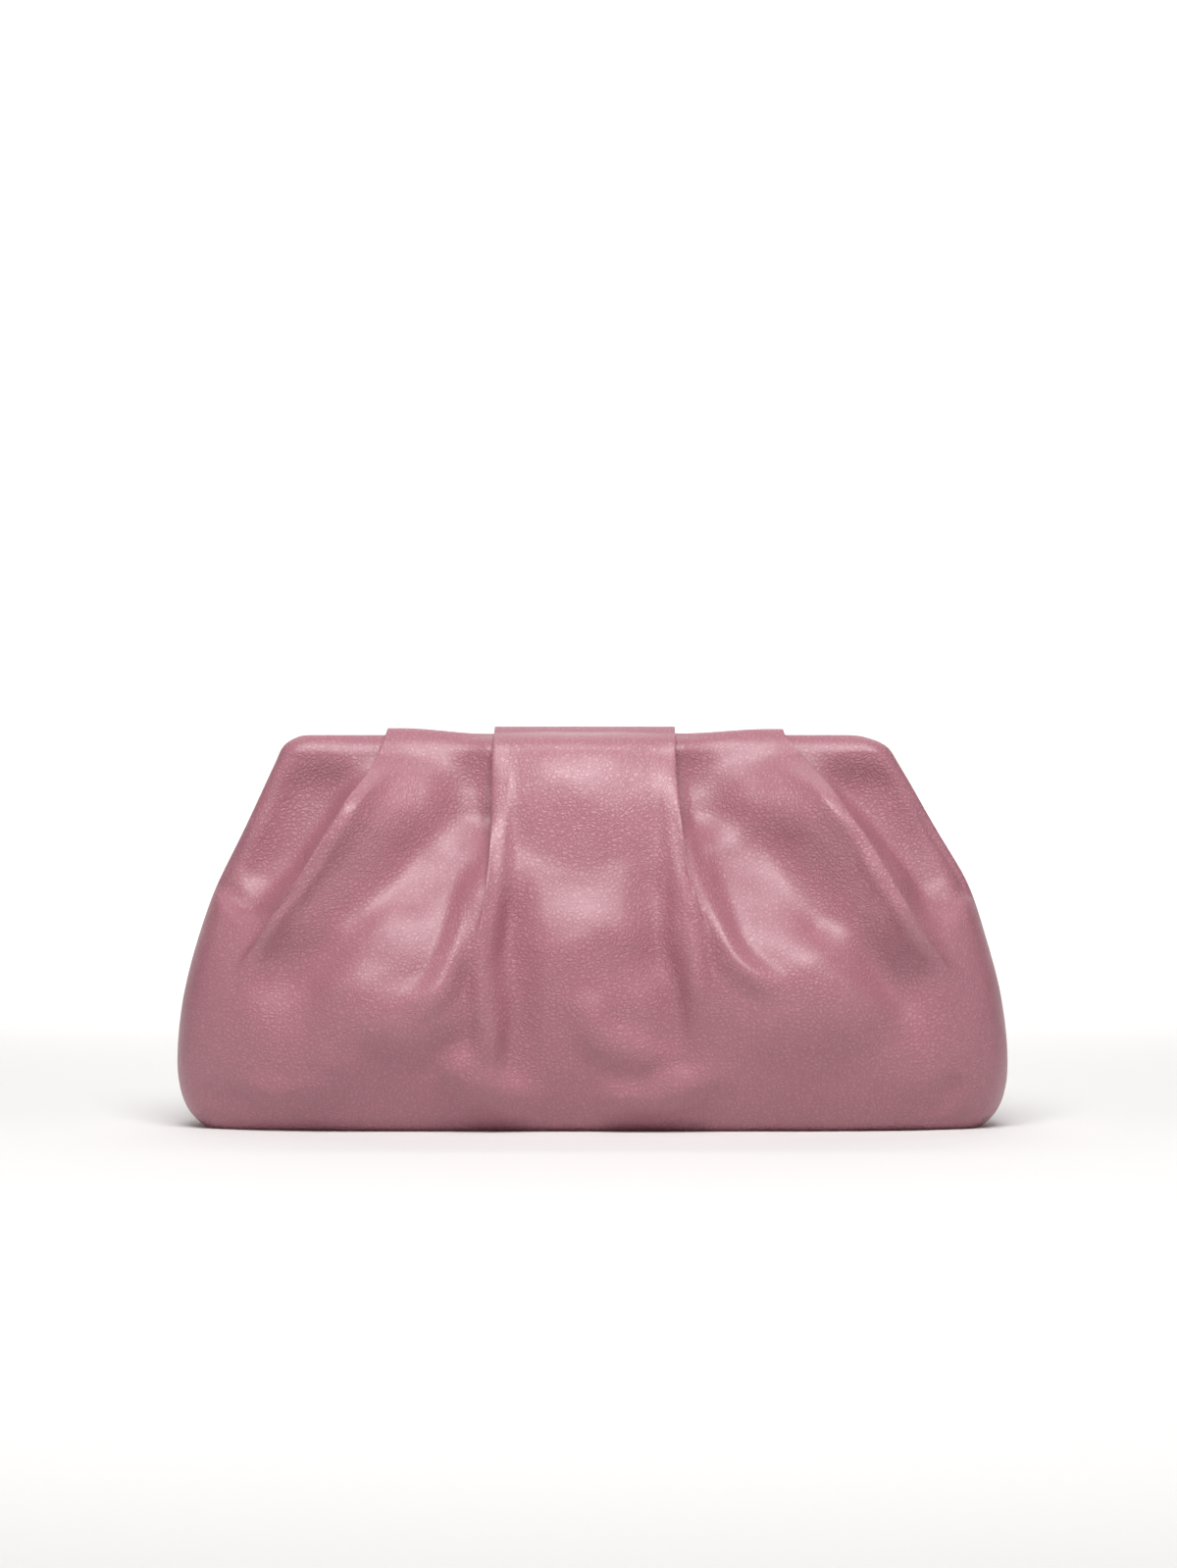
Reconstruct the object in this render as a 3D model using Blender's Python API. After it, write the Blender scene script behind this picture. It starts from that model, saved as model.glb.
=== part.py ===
"""Cloud pouch bag: a soft pleated leather clutch gathered onto a hidden hinged frame.

The bag is two pleated leather shells, front and back, that meet face to face along
the rim, the side seams and the middle of the flat base. A plain sprung frame lies
inside the rim. The front faces -Y, +X is on the right of someone who looks at the
front, and the origin is on the ground under the middle of the bag.
"""

import math
from collections import namedtuple

import bpy
import numpy as np

# Driving sizes, in metres
WIDTH = 0.290
HEIGHT = 0.136
DEPTH = 0.084
WALL = 0.0018
RIM_ROUND = 0.0070
PLEAT_STEP = 0.0030
PLEAT_TUCK = 0.0030
PLEAT_BAND = 0.0040
FOLD_LIFT = 0.0100
FOLD_WIDTH = 0.0200
SEAM_GAP = 0.0003
FRAME_WIRE = 0.0040
FRAME_CLEARANCE = 0.0003
FRAME_DROP = 0.0380

HALF_WIDTH = WIDTH / 2
HALF_DEPTH = DEPTH / 2

# Level sections from the middle of the base up to below the frame. Rise is a share of
# HEIGHT, depth of HALF_DEPTH, left and right of HALF_WIDTH. Span is the share of
# HALF_WIDTH over which the section swells from its ends to its full depth.
Section = namedtuple("Section", "rise depth left right span")
SECTIONS = (
    Section(0.000, 0.00, 0.800, 0.800, 0.50),
    Section(0.000, 0.30, 0.870, 0.870, 0.50),
    Section(0.000, 0.55, 0.930, 0.930, 0.50),
    Section(0.018, 0.70, 0.957, 0.960, 0.50),
    Section(0.055, 0.82, 0.986, 0.986, 0.50),
    Section(0.120, 0.92, 1.000, 1.000, 0.50),
    Section(0.210, 0.98, 1.000, 0.997, 0.50),
    Section(0.310, 1.00, 0.990, 0.988, 0.52),
    Section(0.410, 0.95, 0.970, 0.965, 0.56),
    Section(0.510, 0.82, 0.940, 0.936, 0.62),
    Section(0.600, 0.65, 0.913, 0.913, 0.70),
    Section(0.650, 0.55, 0.890, 0.892, 0.76),
    Section(0.720, 0.43, 0.853, 0.842, 0.84),
    Section(0.820, 0.29, 0.811, 0.792, 0.90),
    Section(0.900, 0.21, 0.777, 0.752, 0.95),
)
DOME_POWER = 2.2

# The frame line, where the leather starts to turn over the rim
FRAME_LINE = Section(1.0 - RIM_ROUND / HEIGHT, RIM_ROUND / HALF_DEPTH, 0.755, 0.722, 1.00)
# How far each top corner is rounded off, as a share of HALF_WIDTH
CORNER_LEFT = 0.075
CORNER_RIGHT = 0.115

# Where the four pleats run, from the rim down: rise as a share of HEIGHT, then the
# place of each pleat's folded edge as a share of HALF_WIDTH.
PleatLine = namedtuple("PleatLine", "rise outer_left inner_left inner_right outer_right")
PLEAT_LINES = (
    PleatLine(0.00, -0.720, -0.340, 0.380, 0.735),
    PleatLine(0.02, -0.835, -0.355, 0.400, 0.850),
    PleatLine(0.12, -0.869, -0.362, 0.414, 0.886),
    PleatLine(0.32, -0.864, -0.345, 0.395, 0.876),
    PleatLine(0.42, -0.846, -0.317, 0.357, 0.846),
    PleatLine(0.51, -0.794, -0.287, 0.298, 0.787),
    PleatLine(0.61, -0.718, -0.262, 0.256, 0.723),
    PleatLine(0.71, -0.659, -0.248, 0.232, 0.671),
    PleatLine(0.81, -0.600, -0.246, 0.218, 0.607),
    PleatLine(0.90, -0.541, -0.243, 0.209, 0.546),
    PleatLine(1.00, -0.494, -0.235, 0.202, 0.454),
)

# One row a pleat, left to right. Upper is +1 where the layer on the right lies on top.
# Top is the step at the rim, middle the step from PLEAT_MIDDLE down, and low is how far
# the lower layer stands proud already, as shares of PLEAT_STEP. The step is full above
# full_at and gone below gone_at, as shares of HEIGHT.
Pleat = namedtuple("Pleat", "upper top middle low full_at gone_at")
PLEATS = (
    Pleat(1, 0.80, 2.30, 0.00, 0.66, 0.43),
    Pleat(1, 0.85, 1.60, 0.15, 0.74, 0.54),
    Pleat(-1, 0.80, 1.60, 0.20, 0.74, 0.54),
    Pleat(-1, 0.70, 2.20, 0.00, 0.64, 0.38),
)
PLEAT_MIDDLE = 0.80
# The share of a pleat's width over which its leather turns from one layer to the next
PLEAT_TURN = 1.5

# Folds, hollows and swells in the leather, followed from start to end. Points are
# shares of HALF_WIDTH and HEIGHT, lift is a share of FOLD_LIFT, and left and right are
# the widths on the left and right hand of the way it runs, as shares of FOLD_WIDTH.
# Crest is how round its top or bottom is, from 0.3 for a crease to 2 for a swell.
Fold = namedtuple("Fold", "name start middle end lift left right crest")
FOLDS = (
    Fold("outer left ridge", (-0.50, 0.97), (-0.65, 0.71), (-0.90, 0.42), 0.30, 0.70, 0.22, 0.4),
    Fold("outer left hollow", (-0.54, 0.97), (-0.70, 0.72), (-0.82, 0.50), -0.60, 0.30, 0.90, 1.0),
    Fold("left pocket", (-0.27, 1.00), (-0.28, 0.84), (-0.42, 0.72), -0.65, 0.40, 1.10, 1.0),
    Fold("left valley", (-0.27, 0.74), (-0.53, 0.63), (-0.76, 0.16), -0.75, 1.10, 1.20, 2.0),
    Fold("left upper swell", (-0.28, 0.54), (-0.46, 0.475), (-0.62, 0.36), 0.55, 0.55, 0.90, 1.2),
    Fold("left lower swell", (-0.28, 0.40), (-0.42, 0.29), (-0.60, 0.20), 0.50, 1.20, 0.70, 1.2),
    Fold("left slope", (-0.52, 0.52), (-0.60, 0.38), (-0.66, 0.06), 0.40, 1.00, 0.80, 1.5),
    Fold("left hook ridge", (-0.248, 0.78), (-0.29, 0.45), (-0.47, 0.31), 0.42, 0.25, 0.50, 0.5),
    Fold("centre left ridge", (-0.215, 1.00), (-0.24, 0.55), (-0.25, 0.12), 0.36, 0.40, 0.20, 0.5),
    Fold("centre left valley", (-0.18, 0.75), (-0.195, 0.37), (-0.18, 0.02), -0.60, 0.60, 0.40, 0.8),
    Fold("centre swell", (-0.20, 0.43), (-0.04, 0.45), (0.12, 0.45), 0.45, 1.00, 1.10, 2.0),
    Fold("centre swag", (-0.06, 0.40), (0.06, 0.21), (0.24, 0.12), 0.45, 0.60, 0.50, 0.8),
    Fold("centre right valley", (0.11, 0.78), (0.15, 0.48), (0.185, 0.12), -0.50, 0.45, 0.50, 0.8),
    Fold("centre right ridge", (0.17, 1.00), (0.205, 0.60), (0.26, 0.12), 0.40, 0.25, 0.40, 0.5),
    Fold("right hook ridge", (0.225, 0.78), (0.29, 0.51), (0.45, 0.35), 0.42, 0.50, 0.25, 0.5),
    Fold("right pocket", (0.24, 1.00), (0.25, 0.84), (0.40, 0.74), -0.60, 1.10, 0.40, 1.0),
    Fold("right valley", (0.25, 0.76), (0.55, 0.63), (0.83, 0.16), -0.75, 1.20, 1.10, 2.0),
    Fold("right upper swell", (0.25, 0.46), (0.44, 0.40), (0.62, 0.42), 0.60, 1.05, 0.80, 1.5),
    Fold("right lower swell", (0.50, 0.47), (0.64, 0.31), (0.76, 0.08), 0.50, 0.80, 1.00, 1.0),
    Fold("outer right ridge", (0.46, 0.97), (0.67, 0.69), (0.90, 0.34), 0.30, 0.22, 0.70, 0.4),
    Fold("outer right hollow", (0.50, 0.97), (0.72, 0.70), (0.85, 0.48), -0.60, 0.90, 0.30, 1.0),
    Fold("left hinge crease", (-0.95, 0.66), (-0.85, 0.59), (-0.76, 0.54), -0.38, 0.30, 0.22, 0.6),
    Fold("right hinge crease", (0.97, 0.65), (0.88, 0.60), (0.80, 0.57), -0.25, 0.30, 0.30, 0.6),
)
# The hidden back is calmer than the front
BACK_FOLDS = 0.75

# No hollow is deeper than this share of the depth there. Hollows end between these two
# shares of HEIGHT, clear of the frame, and all folds end on the flat base and near the
# seams, where the section is between these two shares of RIM_ROUND deep.
DEEPEST_HOLLOW = 0.45
HOLLOWS_FROM = 0.83
HOLLOWS_TO = 0.95
BASE_FADE = 0.06
SEAM_FADE_FROM = 0.3
SEAM_FADE_TO = 1.0
# The ends of a fold die away over this share of its run
FOLD_TAPER = 0.3

# Detail of the two leather shells: rows for each section, rows around the rim, columns
# across each pleat, columns across each of the five panels, and steps along each fold.
ROWS_PER_SECTION = 1.25
RIM_ROWS = 4
BAND_COLUMNS = 4
PANEL_COLUMNS = (6, 8, 11, 8, 6)
CURVE_STEPS = 24

LEATHER_COLOUR = (0.45, 0.235, 0.275, 1.0)
STEEL_COLOUR = (0.55, 0.55, 0.57, 1.0)


def smooth(value):
    """Ease from 0 to 1 with level ends."""
    value = np.clip(value, 0.0, 1.0)
    return value * value * (3.0 - 2.0 * value)


def monotone(where, knots, values):
    """Read a smooth curve through the knots that never overshoots them."""
    knots = np.asarray(knots, dtype=float)
    values = np.asarray(values, dtype=float)
    gaps = np.diff(knots)
    slopes = np.diff(values) / gaps
    before, after = slopes[:-1], slopes[1:]
    agree = before * after > 0.0
    inner = np.where(agree, 2.0 * before * after / np.where(agree, before + after, 1.0), 0.0)
    tangents = np.concatenate(([slopes[0]], inner, [slopes[-1]]))
    index = np.clip(np.searchsorted(knots, where, side="right") - 1, 0, len(gaps) - 1)
    gap = gaps[index]
    t = (where - knots[index]) / gap
    start = values[index] * (1 + 2 * t) * (1 - t) ** 2 + gap * tangents[index] * t * (1 - t) ** 2
    end = values[index + 1] * t ** 2 * (3 - 2 * t) - gap * tangents[index + 1] * t ** 2 * (1 - t)
    return start + end


def section_rows():
    """Height, depth, left end, right end and span of every row, base seam to rim."""
    table = np.array(SECTIONS + (FRAME_LINE,))
    last = len(table) - 1
    where = np.linspace(0.0, last, round(last * ROWS_PER_SECTION) + 1)
    rise, depth, left, right, span = (monotone(where, range(last + 1), values) for values in table.T)

    turn = np.linspace(0.0, math.pi / 2, RIM_ROWS + 1)[1:]
    rim_rise = FRAME_LINE.rise + RIM_ROUND / HEIGHT * np.sin(turn)
    rim_depth = FRAME_LINE.depth * np.cos(turn)
    rim_left = FRAME_LINE.left - CORNER_LEFT * (1.0 - np.cos(turn))
    rim_right = FRAME_LINE.right - CORNER_RIGHT * (1.0 - np.cos(turn))
    rows = (
        np.concatenate((rise, rim_rise)) * HEIGHT,
        np.concatenate((depth, rim_depth)) * HALF_DEPTH,
        np.concatenate((left, rim_left)) * -HALF_WIDTH,
        np.concatenate((right, rim_right)) * HALF_WIDTH,
        np.concatenate((span, np.full(RIM_ROWS, FRAME_LINE.span))) * HALF_WIDTH,
    )
    return [values[:, None] for values in rows]


def column_places():
    """Which stretch each column lies in, and how far along it: ends, bands and panels."""
    stretch, along = [], []
    for panel, count in enumerate(PANEL_COLUMNS):
        steps = np.arange(count) / count
        if panel == 0:
            steps = 1.0 - np.cos(steps * math.pi / 2)
        elif panel == len(PANEL_COLUMNS) - 1:
            steps = np.sin(steps * math.pi / 2)
        else:
            steps = (steps + smooth(steps)) / 2
        stretch += [2 * panel] * count
        along += list(steps)
        if panel < len(PLEATS):
            stretch += [2 * panel + 1] * BAND_COLUMNS
            along += [step / BAND_COLUMNS for step in range(BAND_COLUMNS)]
    return np.array(stretch + [2 * len(PLEATS)]), np.array(along + [1.0])


def pleat_steps(rise):
    """The step of each pleat, how proud its lower layer stands, and its share of tuck."""
    middle = smooth((1.0 - rise) / (1.0 - PLEAT_MIDDLE))
    found = []
    for pleat in PLEATS:
        kept = smooth((rise - pleat.gone_at) / (pleat.full_at - pleat.gone_at))
        step = pleat.top + (pleat.middle - pleat.top) * middle
        found.append((step * kept * PLEAT_STEP, pleat.low * kept * PLEAT_STEP, kept))
    return found


def layout():
    """Every node of the grid before any fold, its tuck under a pleat and its lift."""
    height, depth, left, right, span = section_rows()
    stretch, along = column_places()
    rise = height / HEIGHT
    lines = np.array(PLEAT_LINES).T

    # Where the nine stretches of a row begin and end, and how proud the leather is there
    places, lifts, tucks = [left], [np.zeros_like(left)], []
    for pleat, line, (step, low, kept) in zip(PLEATS, lines[1:], pleat_steps(rise)):
        edge = monotone(rise, lines[0], line) * HALF_WIDTH
        places += [edge - PLEAT_BAND, edge + PLEAT_BAND]
        lifts += [low, low + step] if pleat.upper > 0 else [low + step, low]
        tucks += [np.zeros_like(left), kept * PLEAT_TUCK]
    places, lifts = np.hstack(places + [right]), np.hstack(lifts + [np.zeros_like(left)])
    tucks = np.hstack(tucks + [np.zeros_like(left)])

    in_pleat = stretch % 2 == 1
    across = along * 2.0 - 1.0
    ease = np.where(in_pleat, smooth(across / PLEAT_TURN + 0.5), smooth(along))
    x = places[:, stretch] * (1.0 - along) + places[:, stretch + 1] * along
    lift = lifts[:, stretch] * (1.0 - ease) + lifts[:, stretch + 1] * ease
    # Inside a pleat the leather doubles back under its own edge
    tuck = -tucks[:, stretch] * np.sin(math.pi * across)

    # Distance from the nearer end of the row gives the swell of the section
    inward = np.clip(np.minimum(x - left, right - x), 0.0, None)
    rim_depth = np.minimum(depth, RIM_ROUND)
    edge = np.sqrt(1.0 - (1.0 - np.clip(inward / RIM_ROUND, 0.0, 1.0)) ** 2)
    dome = np.sqrt(1.0 - (1.0 - np.clip(inward / span, 0.0, 1.0)) ** DOME_POWER)
    y = -(rim_depth * edge + (depth - rim_depth) * dome)
    y = np.minimum(y, -SEAM_GAP / 2)
    return np.stack((x, y, np.broadcast_to(height, x.shape)), axis=-1), tuck, lift


def unit(vectors):
    """Vectors scaled to length one."""
    return vectors / np.linalg.norm(vectors, axis=-1, keepdims=True)


def directions(base):
    """Outward direction and crosswise direction at every node."""
    up = np.gradient(base, axis=0)
    across = np.gradient(base, axis=1)
    outward = np.cross(across, up)
    # The seams lie in one plane, so they move only within it
    for side, sign in ((0, -1.0), (-1, 1.0)):
        run = up[:, side]
        outward[:, side] = np.stack((sign * run[:, 2], 0.0 * run[:, 2], -sign * run[:, 0]), -1)
    outward[-1] = (0.0, 0.0, 1.0)
    outward[0] = (0.0, 0.0, -1.0)
    return unit(outward), unit(across)


def curve_points(fold):
    """Points along the smooth curve through a fold's start, middle and end."""
    start, middle, end = np.array((fold.start, fold.middle, fold.end)) * (HALF_WIDTH, HEIGHT)
    control = 2.0 * middle - (start + end) / 2.0
    t = np.linspace(0.0, 1.0, CURVE_STEPS + 1)[:, None]
    return start * (1 - t) ** 2 + control * 2 * t * (1 - t) + end * t ** 2


def fold_height(fold, x, z):
    """How far one fold moves the leather outwards at each front-view place."""
    points = curve_points(fold)
    nearest = np.full(x.shape, np.inf)
    side = np.zeros_like(x)
    travelled = np.zeros_like(x)
    for index, (a, b) in enumerate(zip(points[:-1], points[1:])):
        run = b - a
        t = ((x - a[0]) * run[0] + (z - a[1]) * run[1]) / (run @ run)
        t = np.clip(t, 0.0, 1.0)
        dx, dz = x - a[0] - t * run[0], z - a[1] - t * run[1]
        distance = np.hypot(dx, dz)
        closer = distance < nearest
        nearest = np.where(closer, distance, nearest)
        side = np.where(closer, run[0] * dz - run[1] * dx, side)
        travelled = np.where(closer, (index + t) / CURVE_STEPS, travelled)
    width = np.where(side > 0.0, fold.left, fold.right) * FOLD_WIDTH
    reach = np.clip(nearest / width, 0.0, 1.0)
    fall = math.hypot(1.0, fold.crest) - fold.crest
    profile = (1.0 - (np.hypot(reach, fold.crest) - fold.crest) / fall) ** 2
    taper = smooth(travelled / FOLD_TAPER) * smooth((1.0 - travelled) / FOLD_TAPER)
    return fold.lift * FOLD_LIFT * profile * taper


def relief(base):
    """All folds together, held back at the seams, the rim and the flat base."""
    x, depth, z = base[..., 0], -base[..., 1], base[..., 2]
    rise = z / HEIGHT
    heights = [fold_height(fold, x, z) for fold in FOLDS]
    raised = sum(np.maximum(height, 0.0) for height in heights)
    sunk = sum(np.maximum(-height, 0.0) for height in heights)
    sunk = sunk * smooth((HOLLOWS_TO - rise) / (HOLLOWS_TO - HOLLOWS_FROM))
    deepest = DEEPEST_HOLLOW * depth
    sunk = deepest * np.tanh(sunk / deepest)
    seam = smooth((depth / RIM_ROUND - SEAM_FADE_FROM) / (SEAM_FADE_TO - SEAM_FADE_FROM))
    return (raised - sunk) * seam * smooth(rise / BASE_FADE)


def leather_shell(share_of_folds):
    """Outer and inner points of one leather half, seen from the front."""
    base, tuck, lift = layout()
    outward, across = directions(base)
    folds = relief(base) * share_of_folds
    outer = base + outward * (folds + lift)[..., None] + across * tuck[..., None]
    inner = base + outward * (folds - WALL)[..., None]
    for points in (outer, inner):
        for edge in (points[0], points[-1], points[:, 0], points[:, -1]):
            edge[:, 1] = -SEAM_GAP / 2
    return outer, inner


def shell_faces(rows, columns):
    """Faces of a closed sheet: its outside, its inside and the edge that joins them."""
    inside = rows * columns
    faces = []
    for row in range(rows - 1):
        for column in range(columns - 1):
            a = row * columns + column
            b, c, d = a + 1, a + columns + 1, a + columns
            faces.append((a, b, c, d))
            faces.append((inside + d, inside + c, inside + b, inside + a))
    border = list(range(columns))
    border += [row * columns + columns - 1 for row in range(1, rows)]
    border += [(rows - 1) * columns + column for column in range(columns - 2, -1, -1)]
    border += [row * columns for row in range(rows - 2, 0, -1)]
    for here, there in zip(border, border[1:] + border[:1]):
        faces.append((there, here, inside + here, inside + there))
    return faces


def material(name, colour, roughness, metallic=0.0):
    """A plain principled material."""
    made = bpy.data.materials.new(name)
    made.use_nodes = True
    shader = made.node_tree.nodes["Principled BSDF"]
    shader.inputs["Base Color"].default_value = colour
    shader.inputs["Roughness"].default_value = roughness
    shader.inputs["Metallic"].default_value = metallic
    return made


def add_shell(name, share_of_folds, turned, leather):
    """One leather half as an object, turned to the back when asked."""
    outer, inner = leather_shell(share_of_folds)
    rows, columns = outer.shape[:2]
    points = np.concatenate((outer.reshape(-1, 3), inner.reshape(-1, 3)))
    faces = shell_faces(rows, columns)
    if turned:
        points[:, 1] *= -1.0
        faces = [face[::-1] for face in faces]
    mesh = bpy.data.meshes.new(name)
    mesh.from_pydata(points.tolist(), [], faces)
    mesh.shade_smooth()
    mesh.materials.append(leather)
    shell = bpy.data.objects.new(name, mesh)
    bpy.context.collection.objects.link(shell)
    return shell


def frame_line():
    """The frame's run from its left end up, over and down to its right end."""
    height, _, left, right, _ = (values[:, 0] for values in section_rows())
    above = height > HEIGHT - FRAME_DROP
    rising = np.stack((left[above], height[above]), -1)
    falling = np.stack((right[above], height[above]), -1)[::-1]
    outline = np.concatenate((rising, falling))
    run = unit(np.gradient(outline, axis=0))
    return outline + np.stack((run[:, 1], -run[:, 0]), -1) * RIM_ROUND


def add_frame(name, steel):
    """The sprung frame: one wire up, over and down in front and the same way back."""
    line = frame_line()
    side = RIM_ROUND - WALL - FRAME_CLEARANCE - FRAME_WIRE / 2
    ring = [(x, -side, z) for x, z in line] + [(x, side, z) for x, z in line[::-1]]

    curve = bpy.data.curves.new(name, "CURVE")
    curve.dimensions = "3D"
    curve.bevel_depth = FRAME_WIRE / 2
    curve.bevel_resolution = 2
    wire = curve.splines.new("POLY")
    wire.points.add(len(ring) - 1)
    for point, place in zip(wire.points, ring):
        point.co = (*place, 1.0)
    wire.use_cyclic_u = True
    curve.materials.append(steel)
    frame = bpy.data.objects.new(name, curve)
    bpy.context.collection.objects.link(frame)
    return frame


def main():
    for old in list(bpy.data.objects):
        bpy.data.objects.remove(old, do_unlink=True)
    leather = material("leather", LEATHER_COLOUR, 0.42)
    steel = material("steel", STEEL_COLOUR, 0.35, 1.0)
    add_shell("front_panel", 1.0, False, leather)
    add_shell("back_panel", BACK_FOLDS, True, leather)
    add_frame("closure_frame", steel)


main()
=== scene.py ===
# %% [markdown]
# # A pleated leather pouch bag
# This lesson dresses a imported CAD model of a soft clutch. The CAD part is a front and a
# back leather shell round a hidden sprung frame. It is right in size but coarse, so the
# two shells are made again here with fine folds, grain and a leather finish. The bag
# stands on the ground at the origin, its front faces -Y, and all lengths are in metres.

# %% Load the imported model
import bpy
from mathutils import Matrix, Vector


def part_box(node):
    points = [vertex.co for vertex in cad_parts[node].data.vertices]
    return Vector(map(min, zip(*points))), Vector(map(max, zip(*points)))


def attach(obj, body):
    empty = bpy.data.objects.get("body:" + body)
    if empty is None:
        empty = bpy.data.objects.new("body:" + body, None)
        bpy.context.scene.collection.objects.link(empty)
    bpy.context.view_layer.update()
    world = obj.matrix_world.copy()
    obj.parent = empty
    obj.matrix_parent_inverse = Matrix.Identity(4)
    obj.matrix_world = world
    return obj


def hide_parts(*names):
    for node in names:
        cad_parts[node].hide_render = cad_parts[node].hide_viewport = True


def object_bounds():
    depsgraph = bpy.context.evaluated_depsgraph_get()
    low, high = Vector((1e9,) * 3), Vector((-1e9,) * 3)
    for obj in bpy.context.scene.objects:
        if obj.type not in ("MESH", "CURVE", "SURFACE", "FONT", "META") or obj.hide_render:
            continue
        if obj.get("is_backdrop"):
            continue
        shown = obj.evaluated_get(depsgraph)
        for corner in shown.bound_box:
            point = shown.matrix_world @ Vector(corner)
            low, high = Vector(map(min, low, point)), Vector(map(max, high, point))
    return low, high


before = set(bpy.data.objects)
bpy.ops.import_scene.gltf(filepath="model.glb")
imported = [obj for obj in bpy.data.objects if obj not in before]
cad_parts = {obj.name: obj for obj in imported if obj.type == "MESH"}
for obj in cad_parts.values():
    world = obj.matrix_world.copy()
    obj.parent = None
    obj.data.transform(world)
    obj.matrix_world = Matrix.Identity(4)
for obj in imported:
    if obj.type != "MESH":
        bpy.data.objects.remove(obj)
cad_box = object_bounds()
print("CAD nodes:", sorted(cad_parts))
print("CAD box:", [[round(value, 4) for value in corner] for corner in cad_box])

# %% Python modules for the lesson
import math
from collections import namedtuple

import bpy
import numpy as np
from mathutils import Vector

# %% [markdown]
# ## The size of the bag
# The real bag is cut from thin sheepskin, about 1.8 mm thick with its backing, and it is
# gathered onto a frame only 14 mm thick at the rim. The driving sizes are the ones that
# the CAD part uses, so that the fine leather lies where the coarse leather was. The
# width and height come out a little larger than WIDTH and HEIGHT where pleats stand proud.

# %% Driving sizes
WIDTH = 0.290
HEIGHT = 0.136
DEPTH = 0.084
WALL = 0.0018
RIM_ROUND = 0.0070
SEAM_GAP = 0.0003
HALF_WIDTH = WIDTH / 2
HALF_DEPTH = DEPTH / 2

for node in ("front_panel", "back_panel", "closure_frame"):
    low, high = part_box(node)
    print(node, "is", [round((b - a) * 1000, 1) for a, b in zip(low, high)], "mm")

# %% [markdown]
# ## Curves through a few chosen numbers
# A soft shape needs smooth curves, but a maker thinks in a few measured places. One
# function reads a smooth curve through a row of numbers and never swings past them,
# which an ordinary spline would do beside a sharp change. Another eases from 0 to 1.


# %% Smooth curves
def smooth(value):
    """Ease from 0 to 1 with level ends."""
    value = np.clip(value, 0.0, 1.0)
    return value * value * (3.0 - 2.0 * value)


def read_curve(where, knots, values):
    """Read a smooth curve through the knots that never overshoots them."""
    knots = np.asarray(knots, dtype=float)
    values = np.asarray(values, dtype=float)
    gaps = np.diff(knots)
    slopes = np.diff(values) / gaps
    before, after = slopes[:-1], slopes[1:]
    agree = before * after > 0.0
    inner = np.where(agree, 2.0 * before * after / np.where(agree, before + after, 1.0), 0.0)
    tangents = np.concatenate(([slopes[0]], inner, [slopes[-1]]))
    index = np.clip(np.searchsorted(knots, where, side="right") - 1, 0, len(gaps) - 1)
    gap = gaps[index]
    t = (where - knots[index]) / gap
    start = values[index] * (1 + 2 * t) * (1 - t) ** 2 + gap * tangents[index] * t * (1 - t) ** 2
    end = values[index + 1] * t ** 2 * (3 - 2 * t) - gap * tangents[index + 1] * t ** 2 * (1 - t)
    return start + end


def unit(vectors):
    """Vectors scaled to length one."""
    return vectors / np.linalg.norm(vectors, axis=-1, keepdims=True)


print("Halfway up an ease:", float(smooth(0.5)))

# %% [markdown]
# ## Level sections of the pouch
# A pouch like this one could be lofted by hand from drawn outlines. Here each level
# section is one row of a table instead, from the seam in the middle of the flat base up
# to the frame, so the whole silhouette can be changed by one number. The belly is
# fullest at a third of the height, and the leather leans back from there to the rim.
# The rows between are read off smooth curves, and then eased so that no band shows.

# %% Section table
Section = namedtuple("Section", "rise depth left right span")
SECTIONS = (
    Section(0.000, 0.00, 0.800, 0.800, 0.50),
    Section(0.000, 0.30, 0.870, 0.870, 0.50),
    Section(0.000, 0.55, 0.930, 0.930, 0.50),
    Section(0.018, 0.66, 0.957, 0.960, 0.50),
    Section(0.055, 0.74, 0.986, 0.986, 0.50),
    Section(0.120, 0.835, 1.000, 1.000, 0.50),
    Section(0.210, 0.94, 1.000, 0.997, 0.50),
    Section(0.310, 0.98, 0.990, 0.988, 0.52),
    Section(0.410, 0.975, 0.970, 0.965, 0.56),
    Section(0.510, 0.895, 0.940, 0.936, 0.62),
    Section(0.600, 0.75, 0.913, 0.913, 0.70),
    Section(0.650, 0.665, 0.890, 0.892, 0.76),
    Section(0.720, 0.565, 0.853, 0.842, 0.84),
    Section(0.820, 0.45, 0.811, 0.792, 0.90),
    Section(0.900, 0.29, 0.777, 0.752, 0.95),
)
FRAME_LINE = Section(1.0 - RIM_ROUND / HEIGHT, RIM_ROUND / HALF_DEPTH, 0.755, 0.722, 1.00)
CORNER_LEFT = 0.075
CORNER_RIGHT = 0.115
ROWS_PER_SECTION = 9
RIM_ROWS = 14
BASE_SECTIONS = 2
FOLD_ROWS = 2
EASE_PASSES = 120
RIM_PASSES = 12
RIM_BLEND = 24
RIM_KEPT = 4


def ease_columns(table, first, last, passes):
    """Even out the columns from first up to last between their neighbours."""
    for _ in range(passes):
        before, after = table[:, first - 1:last - 1], table[:, first + 1:last + 1]
        table[:, first:last] = (before + 2 * table[:, first:last] + after) / 4


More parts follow.
